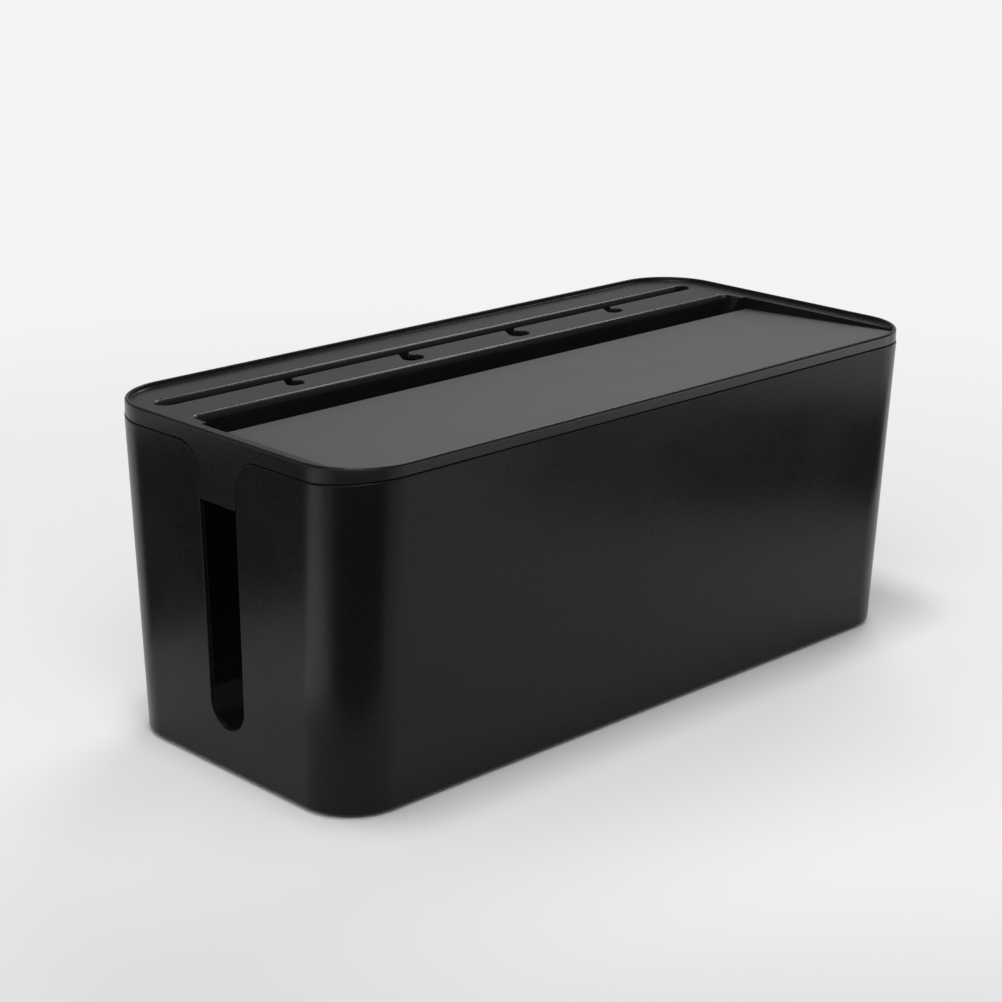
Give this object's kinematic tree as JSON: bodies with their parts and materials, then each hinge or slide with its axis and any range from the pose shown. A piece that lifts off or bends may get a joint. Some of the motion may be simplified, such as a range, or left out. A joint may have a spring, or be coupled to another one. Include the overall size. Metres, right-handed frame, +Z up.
{
  "type": "cable management box",
  "caption": "Long lidded box that hides a power strip and its cables, with an outlet in each end, a lift-off lid with a tray and a device groove, and a slit with cable hooks.",
  "frame": {"origin": "centre of the bounding box's underside, on the surface that the box stands on", "axes": "+X along the length, +Y towards the slit side (the rear), -Y towards the tray side (the front), +Z up"},
  "size_m": [0.3998, 0.185, 0.167],
  "materials": {
    "box_plastic": "fine matte moulding texture with a soft sheen",
    "lid_plastic": "fine matte moulding texture with a soft sheen",
    "foot_rubber": "dull"
  },
  "bodies": {
    "box": {"box_body": "box_plastic", "foot_front_left": "foot_rubber", "foot_front_right": "foot_rubber", "foot_rear_left": "foot_rubber", "foot_rear_right": "foot_rubber"},
    "lid": {"lid": "lid_plastic"}
  },
  "joints": [
    {"name": "lid_lift", "type": "slide", "parent": "box", "child": "lid", "axis": [0, 0, 1], "range_m": [0, 0.06]}
  ]
}
